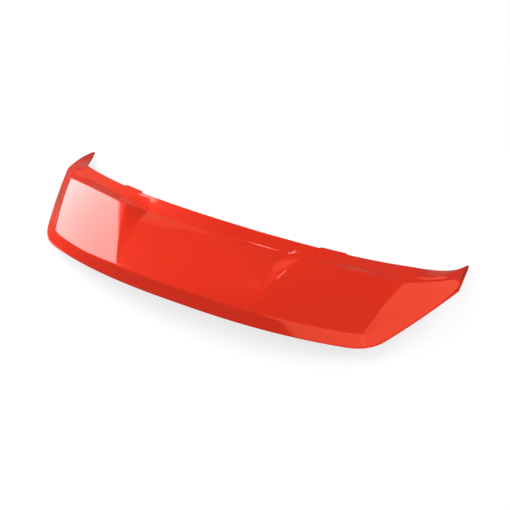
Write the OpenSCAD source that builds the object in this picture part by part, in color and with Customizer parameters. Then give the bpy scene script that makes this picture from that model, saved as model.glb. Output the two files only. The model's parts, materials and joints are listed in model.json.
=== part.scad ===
// Roof-edge spoiler for a hatchback tailgate: a hollow blade of two moulded shells, bonded along
// their edges and ribbed inside. Moulded feet carry its studs and locating pins.
// X runs across the car, +Y towards the roof, +Z up. The origin is the middle of the front edge.

/* [Outline] */
// Overall width across the side corners
span = 1144; // [1130:2:1160]
// Depth at the middle, from the front edge back to the trailing edge
chord = 210; // [204:1:216]
// How far the horn tips reach forward of the middle of the front edge
horn_reach = 293; // [285:1:300]
// How far the horn tips lie below the middle of the front edge
horn_drop = 165; // [160:1:172]

/* [Crown] */
// Forward sweep of the front edge, growing with the square of the distance out
front_sweep = 231; // [227:1:235]
// Part of that sweep that eases off again, growing with the fourth power
sweep_ease = 62; // [58:1:66]
// Fall of the front edge towards the sides, growing with the square of the distance out
front_fall = 178; // [174:1:182]
// Part of that fall that eases off again, growing with the fourth power
fall_ease = 99; // [95:1:103]
// Arch of the raised side panels above straight lines between their creases
panel_bulge = 8; // [0:0.5:12]
// Arch of the dished centre panel at the middle
dish_arch = 14; // [10:0.5:18]
// Arch of the dished centre panel at its side creases
flank_arch = 25; // [22:0.5:28]

/* [Sections] */
// Wall thickness of both shells
wall = 3; // [2.5:0.1:3.5]
// Height of the trailing lip at the middle
lip_h = 47; // [43:1:51]
// Width of the turned-in flange under the trailing lip
return_w = 8; // [6:0.5:10]
// Height of the turned-down flange along the front edge
flange_h = 9; // [7:0.5:11]
// Height of the front seam, which the tongues pass through
front_gap = 3.4; // [3.2:0.1:4]
// Width of the rear seam
rear_gap = 1.4; // [1:0.1:2]
// Depth of the mounting shelf below the line from front seam to rear seam
shelf_depth = 62; // [58:1:66]

/* [Fixings] */
// Radius of the M6 studs
stud_r = 3; // [2.5:0.5:3]
// Length of the studs below their feet
stud_len = 24; // [18:1:30]
// Distance of the inner studs from the middle
stud_in_x = 136; // [130:1:142]
// Distance of the outer studs from the middle
stud_out_x = 336; // [330:1:342]
// Radius of the locating pins
pin_r = 4; // [3.5:0.5:5]
// Length of the straight part of the locating pins below their feet
pin_len = 14; // [10:1:18]
// Distance of the locating pins from the middle
pin_x = 240; // [236:1:244]

/* [Hidden] */
$fn = 32;

half = span / 2;
sweep_ref = 575;
paint = [0.87, 0.18, 0.11];

// Corners of the right-hand half. The left-hand half mirrors them.
tip = [half - 12, horn_reach, -horn_drop];
brow = tip + [-3, -88, 26];
hip = [half - 2, 168, -150];
crest_out = [467, 52, -65];
crest_mid = [351, -2, -27];
crest_in = [232, -44, -5];
dish_corner = [190, -13, -35];
dish_front = [0, -29, -20];
dish_out = 172;
rear_mid = [0, -chord + 4, -57];
rear_out = [425, -102, -117];
lip_mid = [0, -chord, -57 - lip_h];
lip_out = [449, -117, -146];
ramp_foot = [dish_corner, [293, 14, -38], [398, 50, -52.5], [508, 118, -85.5], tip];
brow_mid = [520, 120, -97];
horn_inner = [535, 233, -164];
front_root_x = 447;
horn_pull = 38;

function lerp(a, b, t) = a + (b - a) * t;
function bez(a, b, c, t) = (1 - t) * (1 - t) * a + 2 * t * (1 - t) * b + t * t * c;
function cubic(a, b, c, d, t) = lerp(bez(a, b, c, t), bez(b, c, d, t), t);
function through(a, m, c, t) = bez(a, 2 * m - (a + c) / 2, c, t);
function unit(v) = v / norm(v);
function clamp01(t) = max(0, min(1, t));
function eased(t) = t * (2 - t);

// Catmull-Rom curve through the points p, with t from 0 to the last index
function spline(p, t) =
    let (n = len(p), i = min(n - 2, floor(t)), f = t - i)
    let (a = i > 0 ? p[i - 1] : 2 * p[0] - p[1], b = p[i], c = p[i + 1])
    let (d = i < n - 2 ? p[i + 2] : 2 * p[n - 1] - p[n - 2])
    0.5 * (2 * b + (c - a) * f + (2 * a - 5 * b + 4 * c - d) * f * f
        + (3 * b - a - 3 * c + d) * f * f * f);

// Lines along the blade. u counts zones outward: 0 to 1 the dished centre, 1 to 2 its flank,
// 2 to 3 the raised side panel, 3 to 4 the side facet, 4 to 5 the horn.
function zoned(u, a, b, c) = u < 1 ? a * u : u < 2 ? lerp(a, b, u - 1) : lerp(b, c, u - 2);
function front_at(x) =
    let (t = pow(x / sweep_ref, 2))
    [x, front_sweep * t - sweep_ease * t * t, fall_ease * t * t - front_fall * t];
function front_line(u) =
    u < 3 ? front_at(zoned(u, dish_corner[0], dish_corner[0] + 14, front_root_x))
    : let (root = front_at(front_root_x), way = unit(root - front_at(front_root_x - 5)))
        cubic(root, root + horn_pull * way, horn_inner, tip, (u - 3) / 2);
function foot_line(u) =
    u < 1 ? [u * dish_corner[0],
        lerp(dish_front[1], dish_corner[1], u * u), lerp(dish_front[2], dish_corner[2], u * u)]
    : u < 2 ? spline(ramp_foot, 0.06 * (u - 1))
    : u < 3 ? spline(ramp_foot, lerp(0.06, 2.55, u - 2))
    : spline(ramp_foot, lerp(2.55, 4, (u - 3) / 2));
function crest_line(u) =
    u < 1 ? dish(u, 0.2)
    : u < 2 ? lerp(dish(1, 0.2), crest_in, u - 1)
    : u < 3 ? through(crest_in, crest_mid, crest_out, u - 2)
    : u < 4 ? through(crest_out, brow_mid, brow, eased(u - 3))
    : lerp(brow, tip, u - 4);
function bowed(mid, end, x, p) = [x,
    lerp(mid[1], end[1], pow(x / end[0], p)), lerp(mid[2], end[2], pow(x / end[0], 2.1))];
function rear_line(u) =
    u < 3 ? bowed(rear_mid, rear_out, zoned(u, dish_out, dish_out + 4, rear_out[0]), 2.4)
    : u < 4 ? lerp(crest_line(u), lip_base(u), lerp(0.86, 0.5, eased(u - 3)))
        + pow(4 - u, 4) * (rear_out - lerp(crest_out, lip_out, 0.86))
    : (crest_line(u) + lip_line(u)) / 2;
function lip_base(u) =
    u < 3 ? bowed(lip_mid, lip_out, zoned(u, dish_out + 3, dish_out + 7, lip_out[0]), 2.3)
    : u < 4 ? through(lip_out, (lip_out + hip) / 2 + [4, -1, 0], hip, eased(u - 3))
    : through(hip, (hip + tip) / 2 + [2, 1, 5], tip, u - 4);
// The lip's lower edge turns its rear corner in a wide curve
corner_in = 0.18;
corner_out = 0.08;
function lip_line(u) =
    u < 3 - corner_in || u > 3 + corner_out ? lip_base(u)
    : bez(lip_base(3 - corner_in), lip_out, lip_base(3 + corner_out),
        0.5 + 0.5 * (u - 3) / (u < 3 ? corner_in : corner_out));

// Fore-and-aft arch of the panels: strongest at the dish's corners, where it makes the flanks
// fade out towards the rear, and least at the side facets
function arch(u) =
    u < 1 ? lerp(dish_arch, flank_arch, u * u)
    : u < 2 ? lerp(flank_arch, panel_bulge + 2.6, u - 1)
    : lerp(panel_bulge + 2.6, panel_bulge, u - 2);
function dish(u, v) = arched(foot_line(u), rear_line(u), v, arch(u));
function arched(a, b, v, rise) = lerp(a, b, v) + [0, 0, rise * 4 * v * (1 - v)];
function panel(u, v) =
    u < 1 ? dish(u, lerp(0.2, 1, v))
    : u < 2 ? lerp(dish(1, lerp(0.2, 1, v)), panel(2, v), u - 1)
    : arched(crest_line(u), rear_line(u), v, u < 3 ? arch(u) : panel_bulge * max(0, 4 - u));

// Outer surface of each shell at one station: a row of points from front to rear
side_in = [-0.9, 0.36, 0.25];
function lean(u) =
    unit(lerp(unit(front_line(u) - lip_line(u)), side_in, clamp01((u - 2.6) * 2.5)));
function thin_at(u) = min(1, 1.2 * (5 - u));
function low_front(u, k) = lerp(1, k, clamp01((u - 3) * 1.5)) * thin_at(u);
function flange_foot(u) =
    front_line(u) - [0, thin_at(u), flange_h * low_front(u, 0.3)];
function return_edge(u) = lip_line(u) + return_w * thin_at(u) * lean(u);
function upper_row(u) = concat(
    [flange_foot(u), front_line(u), foot_line(u), crest_line(u)],
    [for (v = [0.25, 0.5, 0.78]) panel(u, v)],
    [rear_line(u), lip_line(u), return_edge(u)]);
// Each place below the blade: a fraction of the way back, a share of the shelf's depth, and the
// row of the upper shell that it lies close under at the outer ends
belly = [[0, 0, 0], [0.1, 0.75, 2], [0.16, 1, 3], [0.46, 0.58, 5], [0.55, 0.65, 6],
    [0.6, 0.28, 7], [1, 0, 9]];
close_gap = 9;
function seam_front(u) = flange_foot(u) - [0, 0, front_gap * low_front(u, 0.3)];
function seam_rear(u) = return_edge(u) + rear_gap * thin_at(u) * lean(u);
function belly_point(u, place) =
    let (edge = lerp(seam_front(u), seam_rear(u), place[0]))
    let (deep = edge - [0, 0, shelf_depth * place[1]])
    place[1] == 0 || u > 4 ? edge : u < 2.75 ? deep
        : lerp(lerp(deep, under(u, place[2], close_gap), clamp01((u - 2.75) * 2.5)),
            edge, clamp01((u - 3.6) * 2.5));
function lower_row(u) = [for (place = belly) belly_point(u, place)];
// A point of the upper row moved straight inward
function under(u, j, distance) =
    let (e = 0.02, a = upper_row(u - e)[j], b = upper_row(u + e)[j], r = upper_row(u))
    r[j] + unit(cross(b - a, r[j + 1] - r[j - 1])) * distance;

// Stations from the left-hand tip to the right-hand one
tip_u = 4.88;
right_side = concat(
    [for (i = [0 : 7]) i / 8], [1, 1.5], [for (i = [0 : 15]) 2 + i / 8],
    [for (i = [0 : 3]) 4 + i / 4], [tip_u]);
function both_sides(list) = concat([for (i = [len(list) - 1 : -1 : 1]) -list[i]], list);
stations = both_sides(right_side);
function mirrored(row, side) = side < 0 ? [for (p = row) [-p[0], p[1], p[2]]] : row;
function upper_net(list) = [for (s = list) mirrored(upper_row(abs(s)), s)];
function lower_net(list) = [for (s = list) mirrored(lower_row(abs(s)), s)];
function columns(net, from, to) = [for (row = net) [for (j = [from : to]) row[j]]];

// Unit normals of a net of points, turned to the side that the shells' hollow lies on
function normals(net) =
    let (m = len(net) - 1, n = len(net[0]) - 1)
    [for (i = [0 : m]) [for (j = [0 : n])
        unit(cross(net[min(m, i + 1)][j] - net[max(0, i - 1)][j],
            net[i][min(n, j + 1)] - net[i][max(0, j - 1)]))]];
function moved(net, dir, distance, thin) =
    [for (i = [0 : len(net) - 1]) [for (j = [0 : len(net[0]) - 1])
        net[i][j] + dir[i][j] * distance * thin[i]]];
// Walls thin out where the horns run to a point
function thinning(list) = [for (s = list) thin_at(abs(s))];
function flat_thin(net) = [for (row = net) 1];

// A closed solid between two nets of the same size
module between(top, bottom) {
    m = len(top);
    n = len(top[0]);
    size = m * n;
    function quad(a, b, c, d) = [[a, b, c], [a, c, d]];
    points = [for (net = [top, bottom]) for (row = net) for (p = row) p];
    skins = [for (i = [0 : m - 2]) for (j = [0 : n - 2]) for (f = concat(
        quad(i * n + j, i * n + j + 1, (i + 1) * n + j + 1, (i + 1) * n + j),
        quad(size + i * n + j, size + (i + 1) * n + j,
            size + (i + 1) * n + j + 1, size + i * n + j + 1))) f];
    ends = [for (j = [0 : n - 2]) for (f = concat(
        quad(j + 1, j, size + j, size + j + 1),
        quad((m - 1) * n + j, (m - 1) * n + j + 1,
            size + (m - 1) * n + j + 1, size + (m - 1) * n + j))) f];
    edges = [for (i = [0 : m - 2]) for (f = concat(
        quad(i * n, (i + 1) * n, size + (i + 1) * n, size + i * n),
        quad((i + 1) * n + n - 1, i * n + n - 1,
            size + i * n + n - 1, size + (i + 1) * n + n - 1))) f];
    polyhedron(points, concat(skins, ends, edges));
}
// A layer over a net, from one distance inside it to another
module layer(net, near, far, thin) {
    dir = normals(net);
    between(moved(net, dir, near, thin), moved(net, dir, far, thin));
}

module upper_shell() {
    color(paint) layer(upper_net(stations), 0, wall, thinning(stations));
}
module lower_shell() {
    color(paint * 0.8) layer(lower_net(stations), -wall, 0, thinning(stations));
}

// Adhesive in the seams between the shells
tongue_u = [2.185, 2.46];
module front_bond() {
    inset = 0.15;
    runs = [
        both_sides(concat([for (i = [0 : 7]) i / 8], [1, 2, tongue_u[0] - 0.005])),
        concat([tongue_u[1] + 0.005], [for (i = [4 : 15]) 2 + i / 8], [4]),
    ];
    color("dimgray") {
        front_bead(runs[0], inset);
        front_bead(runs[1], inset);
        front_bead([for (i = [len(runs[1]) - 1 : -1 : 0]) -runs[1][i]], inset);
    }
}
module front_bead(list, inset) {
    net = [for (s = list) mirrored(let (a = flange_foot(abs(s)), b = belly_point(abs(s), belly[0]))
        [lerp(a, b, inset), lerp(a, b, 1 - inset)], s)];
    layer(net, -1.8, 0, flat_thin(net));
}
module rear_bond() {
    list = [for (s = stations) if (abs(s) <= 4) s];
    net = [for (s = list) mirrored(let (a = return_edge(abs(s)), b = belly_point(abs(s), belly[6]))
        [lerp(a, b, 0.15), lerp(a, b, 0.85)], s)];
    color("dimgray") layer(net, 0.3, 2.1, flat_thin(net));
}

// Ribs stand across the hollow between the two shells
rib_w = 2.4;
rib_clear = 1;
rib_u = [0.3, 0.6, 0.88, 2.3, 2.55, 2.8];
function lower_inside(u, j) =
    let (e = 0.02, a = lower_row(u - e)[j], b = lower_row(u + e)[j], r = lower_row(u))
    r[j] - unit(cross(b - a, r[j + 1] - r[j - 1])) * (wall + rib_clear);
module rib(u, side) {
    top = [for (j = [3 : 7]) under(u, j, wall + rib_clear)];
    bottom = [for (j = [5 : -1 : 2]) lower_inside(u, j)];
    loop = mirrored(concat(top, bottom), side);
    n = len(loop);
    shift = [rib_w / 2, 0, 0];
    // The rib's outline is triangulated as a strip between its top and bottom edges
    pairs = [[0, 8], [1, 7], [2, 6], [3, 5]];
    strip = concat(
        [for (i = [0 : 2]) [pairs[i][0], pairs[i + 1][0], pairs[i + 1][1]]],
        [for (i = [0 : 2]) [pairs[i][0], pairs[i + 1][1], pairs[i][1]]],
        [[3, 4, 5]]);
    polyhedron(
        concat([for (p = loop) p - shift], [for (p = loop) p + shift]),
        concat(strip, [for (f = strip) [f[2] + n, f[1] + n, f[0] + n]],
            [for (i = [0 : n - 1]) let (k = (i + 1) % n) [k, i, i + n]],
            [for (i = [0 : n - 1]) let (k = (i + 1) % n) [k, i + n, k + n]]));
}
module ribs() {
    color("black") for (side = [-1, 1]) for (u = rib_u) rib(u, side);
}

// Locating tongues: flat tabs that leave the front seam and slip under the roof's edge
tongue_out = 15;
tongue_in = 24;
tongue_t = 2.4;
module tongue(side) {
    list = [for (i = [0 : 6]) lerp(tongue_u[0], tongue_u[1], i / 6)];
    function ahead(u) =
        let (d = front_line(u + 0.01) - front_line(u - 0.01)) unit([-d[1], d[0], 0]);
    function run(u, s) =
        let (a = (flange_foot(u) + belly_point(u, belly[0])) / 2)
        let (corner = s == 0 ? 5 : 0)
        [for (k = [-tongue_in, -tongue_in / 2, 0, tongue_out - corner - 2, tongue_out - corner])
            a + ahead(u) * k + [0, 0, k > 0 ? 0 : -0.02 * k]];
    rows = [for (i = [0 : 6]) run(list[i], i == 0 || i == 6 ? 0 : 1)];
    top = [for (row = rows) mirrored([for (p = row) p + [0, 0, tongue_t / 2]], side)];
    bottom = [for (row = rows) mirrored([for (p = row) p - [0, 0, tongue_t / 2]], side)];
    between(top, bottom);
}
module tongue_left() {
    color(paint) tongue(-1);
}
module tongue_right() {
    color(paint) tongue(1);
}

// Feet: moulded blocks bonded under the shelf, level below, each with a pocket for its insert
foot_in = [[0.6, 0.82], -108, [stud_in_x, -50]];
foot_out = [[2.4, 2.6], -146, [stud_out_x, 2]];
foot_pin = [[2.06, 2.22], -126, [pin_x, -28]];
glue = 0.8;
function shelf(u, a, drop) = lerp(lower_row(u)[2], lower_row(u)[3], a) - [0, 0, drop];
module foot_block(foot, drop, low) {
    us = foot[0];
    top = [for (u = us) [shelf(u, 0.22, drop), shelf(u, 0.78, drop)]];
    bottom = low == 0
        ? [for (u = us) [shelf(u, 0.22, drop + glue), shelf(u, 0.78, drop + glue)]]
        : [for (u = us) [for (a = [0.22, 0.78])
            let (p = shelf(u, a, 0), c = foot[2])
            [lerp(c[0], p[0], 0.86), lerp(c[1], p[1], 0.86), low]]];
    between(top, bottom);
}
module at_foot(foot, side) {
    translate([side * foot[2][0], foot[2][1], foot[1]]) children();
}
module foot(foot, side) {
    difference() {
        mirror([side < 0 ? 1 : 0, 0, 0]) foot_block(foot, 0.2 + glue, foot[1]);
        at_foot(foot, side) translate([0, 0, -1]) cylinder(h = head_h + 1, r = head_r);
    }
}
module inner_feet() {
    color("dimgray") for (side = [-1, 1]) foot(foot_in, side);
}
module outer_feet() {
    color("dimgray") for (side = [-1, 1]) foot(foot_out, side);
}
module pin_feet() {
    color("dimgray") for (side = [-1, 1]) mirror([side < 0 ? 1 : 0, 0, 0])
        foot_block(foot_pin, 0.2 + glue, foot_pin[1]);
}
module foot_bonds() {
    color("gray") for (side = [0, 1]) for (f = [foot_in, foot_out, foot_pin])
        mirror([side, 0, 0]) foot_block(f, 0.1, 0);
}

// A stud with its disc head moulded flush into its foot
head_r = 7;
head_h = 3;
module stud() {
    translate([0, 0, -stud_len + 1]) cylinder(h = stud_len - 1, r = stud_r);
    translate([0, 0, -stud_len]) cylinder(h = 1, r1 = stud_r - 1, r2 = stud_r);
    cylinder(h = head_h, r = head_r);
}
module inner_studs() {
    color("silver") for (side = [-1, 1]) at_foot(foot_in, side) stud();
}
module outer_studs() {
    color("silver") for (side = [-1, 1]) at_foot(foot_out, side) stud();
}
module locating_pins() {
    nose = 4;
    color("black") for (side = [-1, 1]) at_foot(foot_pin, side) {
        translate([0, 0, -2]) cylinder(h = 2, r = pin_r + 4);
        translate([0, 0, -2 - pin_len]) cylinder(h = pin_len, r = pin_r);
        translate([0, 0, -2 - pin_len - nose]) cylinder(h = nose, r1 = pin_r - 2, r2 = pin_r);
    }
}
module foot_seals() {
    seal_t = 3;
    color("black") for (side = [-1, 1]) for (f = [foot_in, foot_out]) at_foot(f, side)
        translate([0, 0, -seal_t]) difference() {
            cylinder(h = seal_t, r = 15);
            translate([0, 0, -1]) cylinder(h = seal_t + 2, r = 9);
        }
}

// Fir-tree clips on short towers under the outer ends
clip_u = 2.72;
tower_h = 12;
function clip_seat() = lerp(lower_row(clip_u)[3], lower_row(clip_u)[4], 0.3);
module at_clips() {
    seat = clip_seat();
    for (side = [-1, 1]) translate([side * seat[0], seat[1], seat[2] - 3]) children();
}
module clip_towers() {
    color("dimgray") at_clips() translate([0, 0, -tower_h]) cylinder(h = tower_h, r = 11);
}
module edge_clips() {
    fins = 4;
    pitch = 3;
    color("ivory") at_clips() translate([0, 0, -tower_h]) rotate_extrude() polygon(concat(
        [[0, 0], [9, 0], [9, -1.6], [3, -1.6]],
        [for (i = [0 : fins - 1]) for (p = [[3, -3], [5.4 - 0.3 * i, -3.2], [3, -5.2]])
            [p[0], p[1] - i * pitch]],
        [[2, -3 - fins * pitch - 2], [0, -3 - fins * pitch - 3]]));
}

// Soft strips stuck to the outside of the lower shell
function strip_net(list, a, b, k) =
    [for (s = list) mirrored([for (i = [0 : k]) belly_between(abs(s), lerp(a, b, i / k))], s)];
function belly_between(u, r) =
    let (row = lower_row(u), i = min(len(row) - 2, floor(r))) lerp(row[i], row[i + 1], r - i);
module front_seal() {
    list = [for (s = stations) if (abs(s) <= 2.875) s];
    net = strip_net(list, 0.35, 0.75, 1);
    color("black") layer(net, 0.2, 6, flat_thin(net));
}
module heel_seal() {
    list = [for (s = stations) if (abs(s) <= 2.75) s];
    net = strip_net(list, 3.5, 3.85, 1);
    color("black") layer(net, 0.2, 5, flat_thin(net));
}
module end_tapes() {
    color("darkred") for (side = [-1, 1]) {
        list = [for (i = [0 : 6]) side * lerp(side < 0 ? 4.5 : 3.9, side < 0 ? 3.9 : 4.5, i / 6)];
        net = strip_net(list, 2.2, 4.6, 2);
        layer(net, 0.2, 1.4, flat_thin(net));
    }
}

// Rubber pads on the underside, and plugs in its drain holes
module on_belly(u, r, side, gap) {
    a = belly_between(u, r);
    du = belly_between(u + 0.02, r) - belly_between(u - 0.02, r);
    dr = belly_between(u, r + 0.02) - belly_between(u, r - 0.02);
    n = unit(cross(du, dr));
    tilt = acos(n[2]);
    turn = atan2(n[1], n[0]);
    mirror([side < 0 ? 1 : 0, 0, 0]) translate(a + n * gap) rotate([0, tilt, turn]) children();
}
module bump_pads() {
    color("black") for (side = [-1, 1]) for (u = [0.35, 2.75])
        on_belly(u, 5.12, side, 0.4) {
            cylinder(h = 5, r = 8);
            translate([0, 0, 5]) cylinder(h = 2, r1 = 8, r2 = 5);
        }
}
module drain_plugs() {
    color("black") for (side = [-1, 1]) for (u = [0.7, 2.5])
        on_belly(u, 5.8, side, 0.4) {
            cylinder(h = 1.6, r = 7);
            translate([0, 0, 1.6]) cylinder(h = 1.2, r1 = 4, r2 = 3);
        }
}

upper_shell();
lower_shell();
front_bond();
rear_bond();
ribs();
tongue_left();
tongue_right();
inner_feet();
outer_feet();
pin_feet();
foot_bonds();
inner_studs();
outer_studs();
locating_pins();
foot_seals();
clip_towers();
edge_clips();
front_seal();
heel_seal();
end_tapes();
bump_pads();
drain_plugs();
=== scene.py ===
import json
import math
from functools import lru_cache
import bmesh
import bpy
import numpy as np
from mathutils import Matrix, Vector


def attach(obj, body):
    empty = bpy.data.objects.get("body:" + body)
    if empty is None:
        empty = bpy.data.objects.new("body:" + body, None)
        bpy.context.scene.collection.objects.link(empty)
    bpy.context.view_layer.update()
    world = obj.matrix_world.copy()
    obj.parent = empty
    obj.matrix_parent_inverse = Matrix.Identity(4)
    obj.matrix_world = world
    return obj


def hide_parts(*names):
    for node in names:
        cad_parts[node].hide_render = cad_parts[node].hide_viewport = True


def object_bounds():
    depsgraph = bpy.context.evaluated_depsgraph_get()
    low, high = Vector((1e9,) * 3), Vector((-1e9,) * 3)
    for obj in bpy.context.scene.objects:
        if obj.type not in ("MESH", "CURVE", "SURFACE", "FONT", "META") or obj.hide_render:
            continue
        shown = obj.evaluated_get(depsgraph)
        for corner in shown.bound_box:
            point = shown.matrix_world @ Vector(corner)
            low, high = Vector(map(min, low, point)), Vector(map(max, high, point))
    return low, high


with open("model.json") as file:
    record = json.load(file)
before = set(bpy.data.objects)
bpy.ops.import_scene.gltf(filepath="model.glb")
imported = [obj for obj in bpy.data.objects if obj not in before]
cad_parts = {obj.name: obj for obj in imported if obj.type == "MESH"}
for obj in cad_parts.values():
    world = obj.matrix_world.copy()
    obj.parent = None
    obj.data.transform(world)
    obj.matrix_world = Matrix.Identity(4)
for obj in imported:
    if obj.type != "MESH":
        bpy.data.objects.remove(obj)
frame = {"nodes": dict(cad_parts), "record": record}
cad_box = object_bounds()

# The visual model of a hatchback's roof-edge spoiler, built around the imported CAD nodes
MM = 0.001
TINY = 1e-9


def vec(*xyz):
    return np.array(xyz, float)


# ---------------------------------------------------------------- driving dimensions, in mm
# The overall size, with the horn tip's place ahead of and below the origin
SPAN, CHORD = 1144, 210
HORN_REACH, HORN_DROP = 293, 165
# The front edge's curves in plan and in elevation, as far as a reference half-width
FRONT_SWEEP, SWEEP_EASE = 231, 62
FRONT_FALL, FALL_EASE = 178, 99
SWEEP_REF = 575
# How far the skin rises between its creases
PANEL_BULGE, FLANK_BULGE, DISH_ARCH, FLANK_ARCH = 8, 10.6, 14, 25
# Walls, lip, folded edges, the gaps at the seams, and the shelf below the blade
WALL = 3
LIP_H, RETURN_W, FLANGE_H = 47, 8, 9
FRONT_GAP, REAR_GAP = 3.4, 1.4
SHELF_DEPTH, CLOSE_GAP = 62, 9
# The flank's width at the front and at the rear, and the lip's shift against the rear crease
FLANK_FRONT, FLANK_REAR, LIP_SHIFT = 14, 4, 3

# Corners of the outer skin, on the right-hand half
HALF = SPAN / 2
TIP = vec(HALF - 12, HORN_REACH, -HORN_DROP)
BROW = TIP + vec(-3, -88, 26)
HIP = vec(HALF - 2, 168, -150)
CREST_OUT = vec(467, 52, -65)
CREST_MID = vec(351, -2, -27)
CREST_IN = vec(232, -44, -5)
DISH_CORNER = vec(190, -13, -35)
DISH_FRONT = vec(0, -29, -20)
DISH_OUT = 172
REAR_MID = vec(0, -CHORD + 4, -57)
REAR_OUT = vec(425, -102, -117)
LIP_MID = vec(0, -CHORD, -57 - LIP_H)
LIP_OUT = vec(449, -117, -146)
RAMP_FOOT = [DISH_CORNER, vec(293, 14, -38), vec(398, 50, -52.5), vec(508, 118, -85.5), TIP]
BROW_MID = vec(520, 120, -97)
HORN_INNER = vec(535, 233, -164)
HORN_PULL = 38
FRONT_ROOT_X, ROOT_STEP = 447, 5

# How far the lower edge bows out beside the facet and beside the horn
FACET_BOW, HORN_BOW = vec(4, -1, 0), vec(2, 1, 5)
# The inward direction at the ends, and the flip to the left-hand half
SIDE_IN = vec(-0.9, 0.36, 0.25)
ACROSS = vec(-1, 1, 1)

# Shares of a zone or of a curve
CORNER_IN, CORNER_OUT = 0.18, 0.08
CREST_SHARE = 0.2
FOOT_START, FOOT_TURN = 0.06, 2.55
REAR_BOW, LIP_BOW, DROP_BOW = 2.4, 2.3, 2.1
REAR_SHARE, SIDE_SHARE = 0.86, 0.5
HORN_FLANGE = 0.3
# Where along the blade a change begins, and how fast it goes
LEAN_FROM, CLOSE_FROM, EDGE_FROM, HORN_FROM = 2.6, 2.75, 3.6, 3
FADE, FLANGE_FADE, TIP_FADE = 2.5, 1.5, 1.2
TIP_U = 4.93
STEP_U = 0.02


# ---------------------------------------------------------------- lines along the blade
# u counts zones outward: 0 to 1 the dished centre, 1 to 2 its flank, 2 to 3 the raised side
# panel, 3 to 4 the side facet, 4 to 5 the horn. All points are in mm, on the right-hand half.
def lerp(a, b, t):
    return a + (b - a) * t


def clamp01(t):
    return max(0.0, min(1.0, t))


def unit(v):
    return v / np.linalg.norm(v)


def eased(t):
    return t * (2 - t)


def smooth(t):
    t = clamp01(t)
    return t * t * (3 - 2 * t)


def bez(a, b, c, t):
    return (1 - t) ** 2 * a + 2 * t * (1 - t) * b + t * t * c


def cubic(a, b, c, d, t):
    return lerp(bez(a, b, c, t), bez(b, c, d, t), t)


def through(a, m, c, t):
    return bez(a, 2 * m - (a + c) / 2, c, t)


def spline(p, t):
    """Catmull-Rom curve through the points p, with t from 0 to the last index."""
    n = len(p)
    i = min(n - 2, int(t))
    f = t - i
    a = p[i - 1] if i > 0 else 2 * p[0] - p[1]
    b, c = p[i], p[i + 1]
    d = p[i + 2] if i < n - 2 else 2 * p[n - 1] - p[n - 2]
    line = 2 * b + (c - a) * f
    square = (2 * a - 5 * b + 4 * c - d) * f**2
    cube = (3 * b - a - 3 * c + d) * f**3
    return 0.5 * (line + square + cube)


def zoned(u, a, b, c):
    """Runs from 0 by a at u = 1 and b at u = 2 to c at u = 3."""
    if u < 1:
        return a * u
    return lerp(a, b, u - 1) if u < 2 else lerp(b, c, u - 2)


def front_at(x):
    t = (x / SWEEP_REF) ** 2
    return vec(x, FRONT_SWEEP * t - SWEEP_EASE * t * t, FALL_EASE * t * t - FRONT_FALL * t)


@lru_cache(maxsize=None)
def front_line(u):
    """The front edge, and beyond u = 3 the horn's inner edge."""
    if u < 3:
        return front_at(zoned(u, DISH_CORNER[0], DISH_CORNER[0] + FLANK_FRONT, FRONT_ROOT_X))
    root = front_at(FRONT_ROOT_X)
    way = unit(root - front_at(FRONT_ROOT_X - ROOT_STEP))
    return cubic(root, root + HORN_PULL * way, HORN_INNER, TIP, (u - 3) / 2)


@lru_cache(maxsize=None)
def foot_line(u):
    """The rear edge of the front strip, at the foot of the ramp."""
    if u < 1:
        p = lerp(DISH_FRONT, DISH_CORNER, u * u)
        return vec(u * DISH_CORNER[0], p[1], p[2])
    if u < 2:
        return spline(RAMP_FOOT, FOOT_START * (u - 1))
    if u < 3:
        return spline(RAMP_FOOT, lerp(FOOT_START, FOOT_TURN, u - 2))
    return spline(RAMP_FOOT, lerp(FOOT_TURN, len(RAMP_FOOT) - 1, (u - 3) / 2))


def bowed(mid, end, x, power):
    """A point of a line that curves forward and down from the middle to its outer end."""
    way = x / end[0]
    return vec(x, lerp(mid[1], end[1], way**power), lerp(mid[2], end[2], way**DROP_BOW))


@lru_cache(maxsize=None)
def crest_line(u):
    """The top of the ramp, and further out the facet's upper edge and the horn's ridge."""
    if u < 1:
        return dish(u, CREST_SHARE)
    if u < 2:
        return lerp(dish(1, CREST_SHARE), CREST_IN, u - 1)
    if u < 3:
        return through(CREST_IN, CREST_MID, CREST_OUT, u - 2)
    if u < 4:
        return through(CREST_OUT, BROW_MID, BROW, eased(u - 3))
    return lerp(BROW, TIP, u - 4)


@lru_cache(maxsize=None)
def rear_line(u):
    """The crease above the lip."""
    if u < 3:
        x = zoned(u, DISH_OUT, DISH_OUT + FLANK_REAR, REAR_OUT[0])
        return bowed(REAR_MID, REAR_OUT, x, REAR_BOW)
    if u < 4:
        share = lerp(REAR_SHARE, SIDE_SHARE, eased(u - 3))
        chord = lerp(crest_line(u), lip_base(u), share)
        return chord + (4 - u) ** 4 * (REAR_OUT - lerp(CREST_OUT, LIP_OUT, REAR_SHARE))
    return (crest_line(u) + lip_line(u)) / 2


@lru_cache(maxsize=None)
def lip_base(u):
    """The lip's lower edge with a sharp rear corner."""
    if u < 3:
        inner = DISH_OUT + LIP_SHIFT
        x = zoned(u, inner, inner + FLANK_REAR, LIP_OUT[0])
        return bowed(LIP_MID, LIP_OUT, x, LIP_BOW)
    if u < 4:
        return through(LIP_OUT, (LIP_OUT + HIP) / 2 + FACET_BOW, HIP, eased(u - 3))
    return through(HIP, (HIP + TIP) / 2 + HORN_BOW, TIP, u - 4)


@lru_cache(maxsize=None)
def lip_line(u):
    """The lip's lower edge, which turns its rear corner in a wide curve."""
    if u < 3 - CORNER_IN or u > 3 + CORNER_OUT:
        return lip_base(u)
    share = (u - 3) / (CORNER_IN if u < 3 else CORNER_OUT)
    return bez(lip_base(3 - CORNER_IN), LIP_OUT, lip_base(3 + CORNER_OUT), 0.5 + 0.5 * share)


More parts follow.
